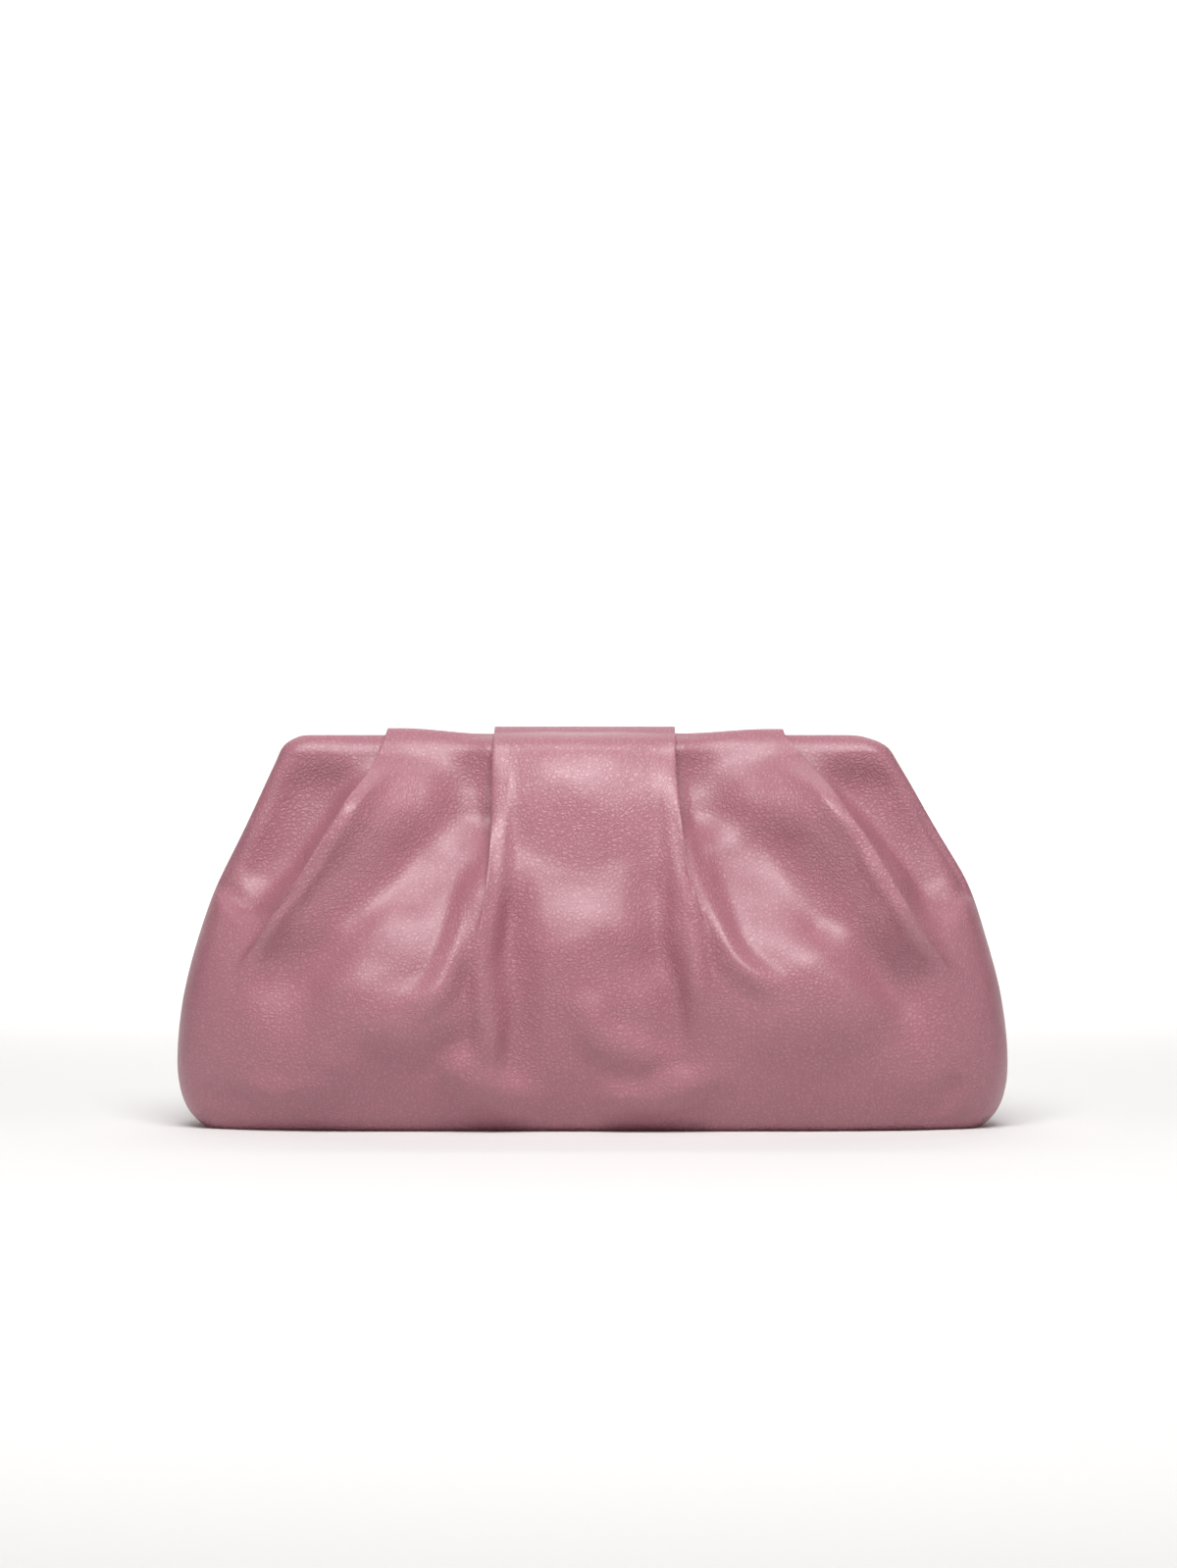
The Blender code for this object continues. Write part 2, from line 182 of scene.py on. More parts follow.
def section_rows():
    """Height, depth, left end, right end and span of every row, base seam to rim."""
    table = np.array(SECTIONS + (FRAME_LINE,))
    last = len(table) - 1
    where = np.linspace(0.0, last, last * ROWS_PER_SECTION + 1)
    columns = np.array([read_curve(where, range(last + 1), values) for values in table.T])

    # The flat base keeps its fold line, and every row above it but the last is eased
    first = BASE_SECTIONS * ROWS_PER_SECTION + FOLD_ROWS
    ease_columns(columns, first, len(where) - 1, EASE_PASSES)
    rise, depth, left, right, span = columns

    turn = np.linspace(0.0, math.pi / 2, RIM_ROWS + 1)[1:]
    rows = np.array((
        np.append(rise, FRAME_LINE.rise + RIM_ROUND / HEIGHT * np.sin(turn)) * HEIGHT,
        np.append(depth, FRAME_LINE.depth * np.cos(turn)) * HALF_DEPTH,
        np.append(left, FRAME_LINE.left - CORNER_LEFT * (1.0 - np.cos(turn))) * -HALF_WIDTH,
        np.append(right, FRAME_LINE.right - CORNER_RIGHT * (1.0 - np.cos(turn))) * HALF_WIDTH,
        np.append(span, np.full(RIM_ROWS, FRAME_LINE.span)) * HALF_WIDTH,
    ))
    # A few more passes over the frame line melt the rim into the panel below it
    count = rows.shape[1]
    ease_columns(rows, count - RIM_BLEND, count - RIM_KEPT, RIM_PASSES)
    return [values[:, None] for values in rows]


print("Rows from base seam to rim:", len(section_rows()[0]))

# %% [markdown]
# ## Four pleats
# The leather is much wider than the frame, so it is folded over itself at four pleats
# before it is stitched in. Seen from the front, each pleat is an edge that runs from the
# rim down and outwards, and dies out in the belly. One table says where those edges
# run and one says how high each step is. Inside a pleat the leather really doubles
# back under its own edge, so the sheet is pushed sideways there, not only up.

# %% Pleat tables and columns
PleatLine = namedtuple("PleatLine", "rise outer_left inner_left inner_right outer_right")
PLEAT_LINES = (
    PleatLine(0.00, -0.720, -0.340, 0.380, 0.735),
    PleatLine(0.02, -0.835, -0.355, 0.400, 0.850),
    PleatLine(0.12, -0.869, -0.362, 0.414, 0.886),
    PleatLine(0.32, -0.864, -0.345, 0.395, 0.876),
    PleatLine(0.42, -0.830, -0.300, 0.335, 0.830),
    PleatLine(0.51, -0.765, -0.268, 0.270, 0.758),
    PleatLine(0.61, -0.685, -0.246, 0.230, 0.688),
    PleatLine(0.71, -0.625, -0.234, 0.207, 0.634),
    PleatLine(0.81, -0.570, -0.232, 0.196, 0.574),
    PleatLine(0.90, -0.523, -0.230, 0.190, 0.524),
    PleatLine(1.00, -0.485, -0.227, 0.188, 0.448),
)
Pleat = namedtuple("Pleat", "upper top middle low full_at gone_at")
PLEATS = (
    Pleat(1, 0.80, 2.20, 0.00, 0.68, 0.38),
    Pleat(1, 0.85, 1.40, 0.15, 0.74, 0.40),
    Pleat(-1, 0.80, 1.40, 0.20, 0.74, 0.40),
    Pleat(-1, 0.70, 2.10, 0.00, 0.66, 0.36),
)
# A step's height, its tuck under the edge, half the width of the band that holds it,
# how high up it reaches its middle height, and how much of the band it takes to turn
PLEAT_STEP = 0.0030
PLEAT_TUCK = 0.0030
PLEAT_BAND = 0.0040
PLEAT_MIDDLE = 0.80
PLEAT_TURN = 1.0
BAND_COLUMNS = 16
PANEL_COLUMNS = (24, 40, 56, 40, 24)


def column_places():
    """Which stretch each column lies in, and how far along it: ends, bands and panels."""
    stretch, along = [], []
    for panel, count in enumerate(PANEL_COLUMNS):
        steps = np.arange(count) / count
        if panel == 0:
            steps = 1.0 - np.cos(steps * math.pi / 2)
        elif panel == len(PANEL_COLUMNS) - 1:
            steps = np.sin(steps * math.pi / 2)
        else:
            steps = (steps + smooth(steps)) / 2
        stretch += [2 * panel] * count
        along += list(steps)
        if panel < len(PLEATS):
            stretch += [2 * panel + 1] * BAND_COLUMNS
            along += [step / BAND_COLUMNS for step in range(BAND_COLUMNS)]
    return np.array(stretch + [2 * len(PLEATS)]), np.array(along + [1.0])


def pleat_steps(rise):
    """The step of each pleat, how proud its lower layer stands, and its share of tuck."""
    middle = smooth((1.0 - rise) / (1.0 - PLEAT_MIDDLE))
    found = []
    for pleat in PLEATS:
        kept = smooth((rise - pleat.gone_at) / (pleat.full_at - pleat.gone_at))
        step = pleat.top + (pleat.middle - pleat.top) * middle
        found.append((step * kept * PLEAT_STEP, pleat.low * kept * PLEAT_STEP, kept))
    return found


print("Columns from side seam to side seam:", len(column_places()[0]))

# %% [markdown]
# ## The smooth pouch under the folds
# Every crossing of a row and a column is one point of the leather. Its height is the
# row's, its place across comes from the pleat table, and its depth follows a dome from
# the side seams to the middle, with a small round edge right at the seam.

# %% Lay out the points
DOME_POWER = 2.2


def lay_out():
    """Every point before any fold, how far a pleat tucks it and how far it lifts it."""
    height, depth, left, right, span = section_rows()
    stretch, along = column_places()
    rise = height / HEIGHT
    lines = np.array(PLEAT_LINES).T

    # Where the nine stretches of a row begin and end, and how proud the leather is there
    places, lifts, tucks = [left], [np.zeros_like(left)], []
    for pleat, line, (step, low, kept) in zip(PLEATS, lines[1:], pleat_steps(rise)):
        edge = read_curve(rise, lines[0], line) * HALF_WIDTH
        places += [edge - PLEAT_BAND, edge + PLEAT_BAND]
        lifts += [low, low + step] if pleat.upper > 0 else [low + step, low]
        tucks += [np.zeros_like(left), kept * PLEAT_TUCK]
    places, lifts = np.hstack(places + [right]), np.hstack(lifts + [np.zeros_like(left)])
    tucks = np.hstack(tucks + [np.zeros_like(left)])

    in_pleat = stretch % 2 == 1
    across = along * 2.0 - 1.0
    ease = np.where(in_pleat, smooth(across / PLEAT_TURN + 0.5), smooth(along))
    x = places[:, stretch] * (1.0 - along) + places[:, stretch + 1] * along
    lift = lifts[:, stretch] * (1.0 - ease) + lifts[:, stretch + 1] * ease
    tuck = -tucks[:, stretch] * np.sin(math.pi * across)

    # The dome falls to the seams with a full round edge
    inward = np.clip(np.minimum(x - left, right - x), 0.0, None)
    rim_depth = np.minimum(depth, RIM_ROUND)
    bend = np.sqrt(1.0 - (1.0 - np.clip(inward / RIM_ROUND, 0.0, 1.0)) ** 2)
    dome = np.sqrt(1.0 - (1.0 - np.clip(inward / span, 0.0, 1.0)) ** DOME_POWER)
    y = np.minimum(-(rim_depth * bend + (depth - rim_depth) * dome), -SEAM_GAP / 2)
    return np.stack((x, y, np.broadcast_to(height, x.shape)), axis=-1), tuck, lift


def directions(base):
    """Outward direction and crosswise direction at every point."""
    up = np.gradient(base, axis=0)
    across = np.gradient(base, axis=1)
    outward = np.cross(across, up)
    # The seams lie in one plane, so they move only within it
    for side, sign in ((0, -1.0), (-1, 1.0)):
        run = up[:, side]
        level = np.zeros(len(run))
        outward[:, side] = np.stack((sign * run[:, 2], level, -sign * run[:, 0]), -1)
    outward[-1] = (0.0, 0.0, 1.0)
    outward[0] = (0.0, 0.0, -1.0)
    return unit(outward), unit(across)


print("Points on one smooth half:", lay_out()[0].shape[:2])

# %% [markdown]
# ## The folds
# Soft leather on a gathered bag hangs in swells and valleys that the pleats throw off.
# A cloth simulation makes folds of that kind, but never the same ones as on the bag in
# front of us. So each fold is drawn as a line across the front view, as one would lay a
# finger along it, with a lift, a width on either side and how round its crest is.
# Paths are shares of half the width and of the height, and lifts and widths are shares
# of the FOLD_LIFT and FOLD_WIDTH of the next step. A path that runs down has its left
# hand on the right of the picture.

# %% Fold table
Fold = namedtuple("Fold", "name lift left right crest path")
FOLDS = (
    Fold("outer left ridge", 0.45, 0.45, 0.25, 0.5,
         ((-0.47, 0.98), (-0.62, 0.71), (-0.86, 0.37))),
    Fold("outer left hollow", -1.00, 0.35, 1.10, 1.0,
         ((-0.55, 0.97), (-0.71, 0.72), (-0.84, 0.52))),
    Fold("left pocket", -0.65, 0.40, 1.10, 1.5,
         ((-0.245, 0.985), (-0.253, 0.86), (-0.272, 0.68))),
    Fold("left drape", 1.10, 1.25, 0.45, 0.9,
         ((-0.42, 0.96), (-0.53, 0.83), (-0.59, 0.73), (-0.655, 0.62), (-0.73, 0.50),
          (-0.80, 0.36))),
    Fold("left valley", -0.50, 1.20, 1.00, 1.6,
         ((-0.25, 0.71), (-0.37, 0.70), (-0.49, 0.675), (-0.60, 0.61), (-0.67, 0.505),
          (-0.70, 0.38), (-0.705, 0.22))),
    Fold("left low valley", -0.40, 0.90, 0.85, 1.2,
         ((-0.50, 0.68), (-0.60, 0.59), (-0.665, 0.48), (-0.70, 0.34), (-0.70, 0.12))),
    Fold("left hook ridge", 0.45, 0.45, 0.40, 0.6,
         ((-0.258, 0.70), (-0.277, 0.60), (-0.31, 0.465), (-0.37, 0.365), (-0.46, 0.31))),
    Fold("left slope", 0.30, 1.10, 0.90, 1.5,
         ((-0.56, 0.46), (-0.58, 0.34), (-0.60, 0.20), (-0.58, 0.05))),
    Fold("centre left ridge", 0.42, 0.40, 0.35, 0.6,
         ((-0.228, 1.00), (-0.230, 0.75), (-0.245, 0.55), (-0.258, 0.37), (-0.25, 0.19),
          (-0.22, 0.08))),
    Fold("centre left valley", -0.40, 0.60, 0.35, 1.0,
         ((-0.190, 0.66), (-0.185, 0.50), (-0.187, 0.30), (-0.17, 0.06))),
    Fold("centre swag", 0.34, 0.50, 0.50, 1.0,
         ((-0.035, 0.38), (0.00, 0.27), (0.085, 0.20), (0.21, 0.135))),
    Fold("centre right valley", -0.36, 0.35, 0.60, 1.0,
         ((0.120, 0.76), (0.145, 0.60), (0.16, 0.47), (0.19, 0.27), (0.215, 0.11))),
    Fold("centre right ridge", 0.42, 0.35, 0.40, 0.6,
         ((0.184, 1.00), (0.198, 0.75), (0.225, 0.58), (0.240, 0.40), (0.25, 0.20))),
    Fold("right hook ridge", 0.45, 0.40, 0.45, 0.6,
         ((0.235, 0.72), (0.257, 0.62), (0.308, 0.495), (0.37, 0.405), (0.47, 0.36))),
    Fold("right crest", 0.34, 0.60, 1.10, 1.0,
         ((0.53, 0.53), (0.61, 0.40), (0.69, 0.22))),
    Fold("right drape", 1.15, 0.45, 1.25, 0.9,
         ((0.40, 0.96), (0.51, 0.84), (0.58, 0.73), (0.65, 0.62), (0.73, 0.50),
          (0.81, 0.36))),
    Fold("right valley", -0.54, 1.00, 1.30, 1.6,
         ((0.22, 0.74), (0.33, 0.72), (0.44, 0.68), (0.55, 0.61), (0.64, 0.505),
          (0.72, 0.36), (0.77, 0.20))),
    Fold("right low valley", -0.40, 0.85, 0.90, 1.2,
         ((0.48, 0.68), (0.57, 0.60), (0.65, 0.49), (0.72, 0.34), (0.76, 0.12))),
    Fold("right pocket", -0.65, 1.10, 0.40, 1.5,
         ((0.215, 0.985), (0.223, 0.87), (0.245, 0.70))),
    Fold("outer right ridge", 0.45, 0.25, 0.45, 0.5,
         ((0.445, 0.985), (0.645, 0.685), (0.89, 0.35))),
    Fold("outer right hollow", -1.00, 1.10, 0.35, 1.0,
         ((0.53, 0.97), (0.72, 0.72), (0.86, 0.50))),
    Fold("left hinge crease", -0.24, 0.30, 0.25, 0.8,
         ((-0.90, 0.65), (-0.85, 0.59), (-0.77, 0.545))),
    Fold("right hinge crease", -0.12, 0.30, 0.30, 1.0,
         ((0.93, 0.65), (0.87, 0.60), (0.80, 0.57))),
    Fold("left base swag", 0.14, 0.35, 0.35, 1.0,
         ((-0.84, 0.15), (-0.72, 0.10), (-0.57, 0.10))),
    Fold("middle base swag", 0.34, 0.50, 0.40, 1.0,
         ((-0.35, 0.22), (-0.28, 0.12), (-0.10, 0.07))),
    Fold("right base swag", 0.34, 0.50, 0.40, 1.0,
         ((-0.01, 0.105), (0.14, 0.085), (0.34, 0.17))),
    Fold("right base dip", -0.16, 0.40, 0.40, 1.2,
         ((0.88, 0.15), (0.83, 0.09), (0.77, 0.05))),
    Fold("left base dip", -0.10, 0.35, 0.35, 1.2,
         ((-0.95, 0.12), (-0.86, 0.09), (-0.80, 0.09))),
)
# A swell is a round cushion or dish: its middle, its reach along and across, the angle
# of its long way above the horizontal in degrees, and its lift
Swell = namedtuple("Swell", "name middle along across angle lift")
SWELLS = (
    Swell("left swell", (-0.45, 0.37), 1.8, 1.5, 15, 0.40),
    Swell("left lower swell", (-0.42, 0.29), 1.2, 0.85, 20, 0.36),
    Swell("centre chest", (-0.02, 0.95), 2.6, 2.0, 0, 0.90),
    Swell("centre mound", (-0.03, 0.46), 1.2, 1.2, 0, 0.28),
    Swell("centre hollow", (0.055, 0.42), 0.7, 1.5, 100, -0.18),
    Swell("right swell", (0.45, 0.35), 2.1, 1.5, -20, 0.46),
)
print("Folds and swells on the front:", len(FOLDS), len(SWELLS))

# %% [markdown]
# ## Turn the fold lines into relief
# For each point the nearest place on each fold line is found, and a bell-shaped profile
# says how far that fold moves the leather. Hollows are held back where the pouch is
# shallow, so the front never reaches the back, and nothing moves at the seams.

# %% Relief
FOLD_LIFT = 0.0100
FOLD_WIDTH = 0.0200
FOLD_STEPS = 28
FOLD_TAPER = 0.3
WANDER = 0.0009
WANDER_SIZE = 0.060
DEEPEST_HOLLOW = 0.62
HOLLOWS_FROM = 0.86
HOLLOWS_TO = 0.97
BASE_FADE = 0.06
SEAM_FADE_FROM = 0.3
SEAM_FADE_TO = 1.0


def fold_line(fold):
    """Points along the smooth line through a fold's path."""
    path = np.array(fold.path) * (HALF_WIDTH, HEIGHT)
    knots = range(len(path))
    where = np.linspace(0.0, len(path) - 1, FOLD_STEPS + 1)
    return np.stack([read_curve(where, knots, values) for values in path.T], axis=-1)


def fold_height(fold, x, z):
    """How far one fold moves the leather outwards at each front-view place."""
    points = fold_line(fold)
    nearest = np.full(x.shape, np.inf)
    side = np.zeros_like(x)
    travelled = np.zeros_like(x)
    for index, (a, b) in enumerate(zip(points[:-1], points[1:])):
        run = b - a
        t = ((x - a[0]) * run[0] + (z - a[1]) * run[1]) / (run @ run)
        t = np.clip(t, 0.0, 1.0)
        dx, dz = x - a[0] - t * run[0], z - a[1] - t * run[1]
        distance = np.hypot(dx, dz)
        closer = distance < nearest
        nearest = np.where(closer, distance, nearest)
        side = np.where(closer, run[0] * dz - run[1] * dx, side)
        travelled = np.where(closer, (index + t) / FOLD_STEPS, travelled)
    width = np.where(side > 0.0, fold.left, fold.right) * FOLD_WIDTH
    reach = np.clip(nearest / width, 0.0, 1.0)
    fall = math.hypot(1.0, fold.crest) - fold.crest
    profile = (1.0 - (np.hypot(reach, fold.crest) - fold.crest) / fall) ** 2
    taper = smooth(travelled / FOLD_TAPER) * smooth((1.0 - travelled) / FOLD_TAPER)
    return fold.lift * FOLD_LIFT * profile * taper


def swell_height(swell, x, z):
    """How far one round swell or dish moves the leather at each front-view place."""
    dx = x - swell.middle[0] * HALF_WIDTH
    dz = z - swell.middle[1] * HEIGHT
    turn = math.radians(swell.angle)
    along = (dx * math.cos(turn) + dz * math.sin(turn)) / (swell.along * FOLD_WIDTH)
    across = (dz * math.cos(turn) - dx * math.sin(turn)) / (swell.across * FOLD_WIDTH)
    reach = np.clip(along ** 2 + across ** 2, 0.0, 1.0)
    return swell.lift * FOLD_LIFT * (1.0 - reach) ** 2


def wander(x, z):
    """Shift places a little, back and forth, so that no fold runs like a ruled line."""
    turn_x, turn_z = x * 2 * math.pi / WANDER_SIZE, z * 2 * math.pi / WANDER_SIZE
    shift_x = np.sin(turn_z + 0.7) + 0.5 * np.sin(2.3 * turn_x - 1.6 * turn_z)
    shift_z = np.sin(turn_x + 2.1) + 0.5 * np.sin(1.9 * turn_x + 2.2 * turn_z + 1.0)
    return x + shift_x * WANDER, z + shift_z * WANDER


def relief(base):
    """All folds together, held back at the seams, the rim and the flat base."""
    depth, rise = -base[..., 1], base[..., 2] / HEIGHT
    x, z = wander(base[..., 0], base[..., 2])
    heights = [fold_height(fold, x, z) for fold in FOLDS]
    heights += [swell_height(swell, x, z) for swell in SWELLS]
    raised = sum(np.maximum(height, 0.0) for height in heights)
    sunk = sum(np.maximum(-height, 0.0) for height in heights)
    sunk = sunk * smooth((HOLLOWS_TO - rise) / (HOLLOWS_TO - HOLLOWS_FROM))
    deepest = DEEPEST_HOLLOW * depth
    sunk = deepest * np.tanh(sunk / deepest)
    seam = smooth((depth / RIM_ROUND - SEAM_FADE_FROM) / (SEAM_FADE_TO - SEAM_FADE_FROM))
    return (raised - sunk) * seam * smooth(rise / BASE_FADE)


smooth_pouch = lay_out()[0]
pouch_relief = relief(smooth_pouch)
print("Deepest hollow and highest swell, mm:",
      round(float(pouch_relief.min()) * 1000, 1), round(float(pouch_relief.max()) * 1000, 1))

# %% [markdown]
# ## Sew the two halves
# Each half is one closed wall: an outer skin, an inner skin one wall thickness inside it,
# and a strip round the edge. A Solidify modifier would do this too, but it tears where a
# pleat doubles back, so both skins are made from the same grid. Two point attributes
# say where the leather is free to move and where it stands raised: there it is smoother,
# as rubbed leather is, and painted a shade lighter as a painted highlight.

# %% Build the leather halves
BACK_FOLDS = 0.60
FOLD_ASIDE = 0.3
# How raised the leather must be before it is made smoother and painted lighter as a highlight
CREST_FROM = 0.0010
CREST_HEIGHT = 0.0080
LOOSE_FROM = 0.2


def leather_grid(share_of_folds):
    """Outer and inner points of one half, seen from the front, and how raised they are, which
    makes them smoother and lighter with a painted highlight.
    """
    base, tuck, lift = lay_out()
    outward, across = directions(base)
    folds = relief(base) * share_of_folds
    # Folds hang forwards more than aside or up, so they stay where they were drawn
    forward = unit(outward * (FOLD_ASIDE, 1.0, FOLD_ASIDE))
    pushed = base + forward * folds[..., None]
    outer = pushed + forward * lift[..., None] + across * tuck[..., None]
    inner = pushed - outward * WALL
    for points in (outer, inner):
        for edge in (points[0], points[-1], points[:, 0], points[:, -1]):
            edge[:, 1] = -SEAM_GAP / 2
    # Raised crests get a smoother rubbed gloss and a painted highlight
    rub_and_highlight = smooth((folds + lift - CREST_FROM) / CREST_HEIGHT)
    return outer, inner, rub_and_highlight


def wall_faces(rows, columns):
    """Faces of a closed wall: its outside, its inside and the strip that joins them."""
    inside = rows * columns
    a = (np.arange(rows - 1)[:, None] * columns + np.arange(columns - 1)).ravel()
    outer = np.stack((a, a + 1, a + columns + 1, a + columns), axis=-1)
    border = list(range(columns))
    border += [row * columns + columns - 1 for row in range(1, rows)]
    border += [(rows - 1) * columns + column for column in range(columns - 2, -1, -1)]
    border += [row * columns for row in range(rows - 2, 0, -1)]
    here = np.array(border)
    there = np.roll(here, -1)
    strip = np.stack((there, here, inside + here, inside + there), axis=-1)
    return np.concatenate((outer, outer[:, ::-1] + inside, strip))


def sew_half(name, share_of_folds, turned):
    """One leather half as a closed mesh, turned to the back when asked."""
    outer, inner, rub_and_highlight = leather_grid(share_of_folds)
    rows, columns = rub_and_highlight.shape
    points = np.concatenate((outer.reshape(-1, 3), inner.reshape(-1, 3)))
    faces = wall_faces(rows, columns)
    if turned:
        points[:, 1] *= -1.0
        faces = faces[:, ::-1]
    mesh = bpy.data.meshes.new(name)
    mesh.from_pydata(points.tolist(), [], faces.tolist())
    mesh.shade_smooth()
    depth = np.abs(points[:, 1])
    loose = smooth(depth / RIM_ROUND - LOOSE_FROM) * smooth(points[:, 2] / HEIGHT / BASE_FADE)
    for attribute, values in (("loose", loose), ("rub_and_highlight", np.tile(rub_and_highlight.ravel(), 2))):
        layer = mesh.attributes.new(attribute, "FLOAT", "POINT")
        layer.data.foreach_set("value", values.astype(np.float32))
    half = bpy.data.objects.new(name, mesh)
    bpy.context.collection.objects.link(half)
    print(name, "has", len(mesh.polygons) * 2, "triangles")
    return half


front_leather = sew_half("front_leather", 1.0, False)
back_leather = sew_half("back_leather", BACK_FOLDS, True)

# %% [markdown]
# ## Nodes and colours
# Materials and Geometry Nodes are both trees of nodes. One small function adds a node,
# sets its settings and makes its links, so a tree reads like a recipe. Colours are
# chosen as the hex values a screen shows, and the shader needs them linear.


# %% Node and colour helpers
def add_node(tree, kind, settings=None, **sockets):
    """Add one node. Sockets are named, or numbered as _0. An output is linked to one,
    any other value is set."""
    node = tree.nodes.new(kind)
    for name, value in (settings or {}).items():
        setattr(node, name, value)
    for name, value in sockets.items():
        number = name[1:]
        socket = node.inputs[int(number) if number.isdigit() else name.replace("_", " ")]
        if isinstance(value, bpy.types.NodeSocket):
            tree.links.new(value, socket)
        else:
            socket.default_value = value
    return node


def calculate(tree, operation, first, second):
    """The result of one sum with two sockets or values."""
    return add_node(tree, "ShaderNodeMath", {"operation": operation},
                    _0=first, _1=second).outputs[0]


def mix_colours(tree, share, first, second, blend="MIX"):
    """A share of the second colour over the first."""
    settings = {"data_type": "RGBA", "blend_type": blend}
    return add_node(tree, "ShaderNodeMix", settings, _0=share, _6=first, _7=second).outputs[2]


def colour(code):
    """A hex colour as the linear values that a shader works in."""
    shown = [int(code[place:place + 2], 16) / 255 for place in (1, 3, 5)]
    linear = [part / 12.92 if part <= 0.04045 else ((part + 0.055) / 1.055) ** 2.4
              for part in shown]
    return (*linear, 1.0)


def new_material(name):
    """An empty material: its tree and its output node."""
    made = bpy.data.materials.new(name)
    made.use_nodes = True
    made.node_tree.nodes.clear()
    return made, made.node_tree, made.node_tree.nodes.new("ShaderNodeOutputMaterial")


print("Rose leather is linear", [round(value, 3) for value in colour("#a16573")])

# %% [markdown]
# ## Nappa leather
# The bag is drum-dyed sheepskin nappa with a thin aniline finish. That gives the eye a
# warm dusty rose that wanders a little in tone, a satin light on each swell, and a
# fine pebble of creases just under a millimetre apart. Here the pebble is drawn at half
# as much again or more, so that a picture of the whole bag shows it. It is a Voronoi pattern
# through the bag's own space, because a flat map of so curved a skin would stretch the
# cells at the sides. Noise bends the cells, and they serve as bump and as a faint dark
# line of painted shade in the creases between them. Raised crests are smoother, as rubbed
# leather is, and painted a shade lighter as a painted highlight.

# %% Nappa leather material
GRAIN = 0.0015
GRAIN_DEPTH = 0.00020
GRAIN_BEND = 0.6
CREASE_SHARE = 0.30
PUCKER = 0.0035
PUCKER_DEPTH = 0.00016
BUMP_STRENGTH = 0.8
TONE_PATCH = 0.035
# How much lighter the raised crests are painted: a painted highlight
PAINTED_HIGHLIGHT_SHARE = 0.35
# How dark the painted shade in the grain creases is
CREASE_SHADE_SHARE = 0.45
PLAIN_ROUGHNESS = 0.52
RUBBED_ROUGHNESS = 0.44


def nappa_leather():
    """Satin aniline nappa: a skin a little rough under a softer coat of finish."""
    made, tree, out = new_material("nappa leather, rose")
    place = add_node(tree, "ShaderNodeTexCoord").outputs["Object"]
    rub_and_highlight = add_node(tree, "ShaderNodeAttribute", {"attribute_name": "rub_and_highlight"}).outputs["Fac"]

    # Pebble: cells bent by a part of their own size, with a soft crease between them
    bend = add_node(tree, "ShaderNodeTexNoise", Vector=place, Scale=GRAIN_BEND / GRAIN, Detail=1.0)
    shift = add_node(tree, "ShaderNodeVectorMath", {"operation": "MULTIPLY_ADD"},
                     _0=bend.outputs["Color"], _1=(GRAIN, GRAIN, GRAIN), _2=place)
    cells = add_node(tree, "ShaderNodeTexVoronoi", {"feature": "DISTANCE_TO_EDGE"},
                     Vector=shift.outputs["Vector"], Scale=1.0 / GRAIN)
    pebble = add_node(tree, "ShaderNodeMapRange", {"interpolation_type": "SMOOTHSTEP"},
                      Value=cells.outputs["Distance"], From_Max=CREASE_SHARE).outputs["Result"]
    pucker = add_node(tree, "ShaderNodeTexNoise", Vector=place, Scale=1.0 / PUCKER, Detail=3.0)

    # Tone: slow patches, a painted highlight that lightens the raised crests, and a darker
    # line of painted shade in the creases between cells
    patches = add_node(tree, "ShaderNodeTexNoise", Vector=place,
                       Scale=1.0 / TONE_PATCH, Detail=4.0)
    tone = mix_colours(tree, patches.outputs["Fac"], colour("#a16573"), colour("#b07380"))
    # Raised crests are painted a shade lighter: a painted highlight
    painted_highlight_share = calculate(tree, "MULTIPLY", rub_and_highlight, PAINTED_HIGHLIGHT_SHARE)
    tone = mix_colours(tree, painted_highlight_share, tone, colour("#b87e8a"))
    # The creases between cells are darkened: painted shade in the grain creases
    crease_shade_share = add_node(tree, "ShaderNodeMapRange", Value=pebble, To_Min=CREASE_SHADE_SHARE, To_Max=0.0)
    tone = mix_colours(tree, crease_shade_share.outputs["Result"], tone, colour("#d9c4c8"), "MULTIPLY")

    gloss = add_node(tree, "ShaderNodeMapRange", Value=rub_and_highlight,
                     To_Min=PLAIN_ROUGHNESS, To_Max=RUBBED_ROUGHNESS)
    soft = add_node(tree, "ShaderNodeBump", Height=pucker.outputs["Fac"],
                    Distance=PUCKER_DEPTH, Strength=BUMP_STRENGTH)
    fine = add_node(tree, "ShaderNodeBump", Height=pebble, Distance=GRAIN_DEPTH,
                    Strength=BUMP_STRENGTH, Normal=soft.outputs["Normal"])
    shader = add_node(tree, "ShaderNodeBsdfPrincipled", Base_Color=tone,
                      Roughness=gloss.outputs["Result"], Normal=fine.outputs["Normal"],
                      IOR=1.5, Coat_Weight=0.60, Coat_IOR=1.6, Coat_Roughness=0.43)
    tree.links.new(shader.outputs["BSDF"], out.inputs["Surface"])
    return made


leather = nappa_leather()
print("Leather nodes:", len(leather.node_tree.nodes))

# %% [markdown]
# ## Slack in the skin
# Between the big folds, soft skin is never quite even: it has faint swells a finger wide,
# where it was stretched over nothing. One could sculpt them, but a rule is enough, so
# a Geometry Nodes tree moves each point along its normal by smooth noise. Its inputs are
# named sizes and a fixed seed, and the loose attribute keeps the seams still.

# %% Slack as Geometry Nodes
RIPPLE_HEIGHT = 0.0022
RIPPLE_SIZE = 0.030
FIRST_SEED = 3


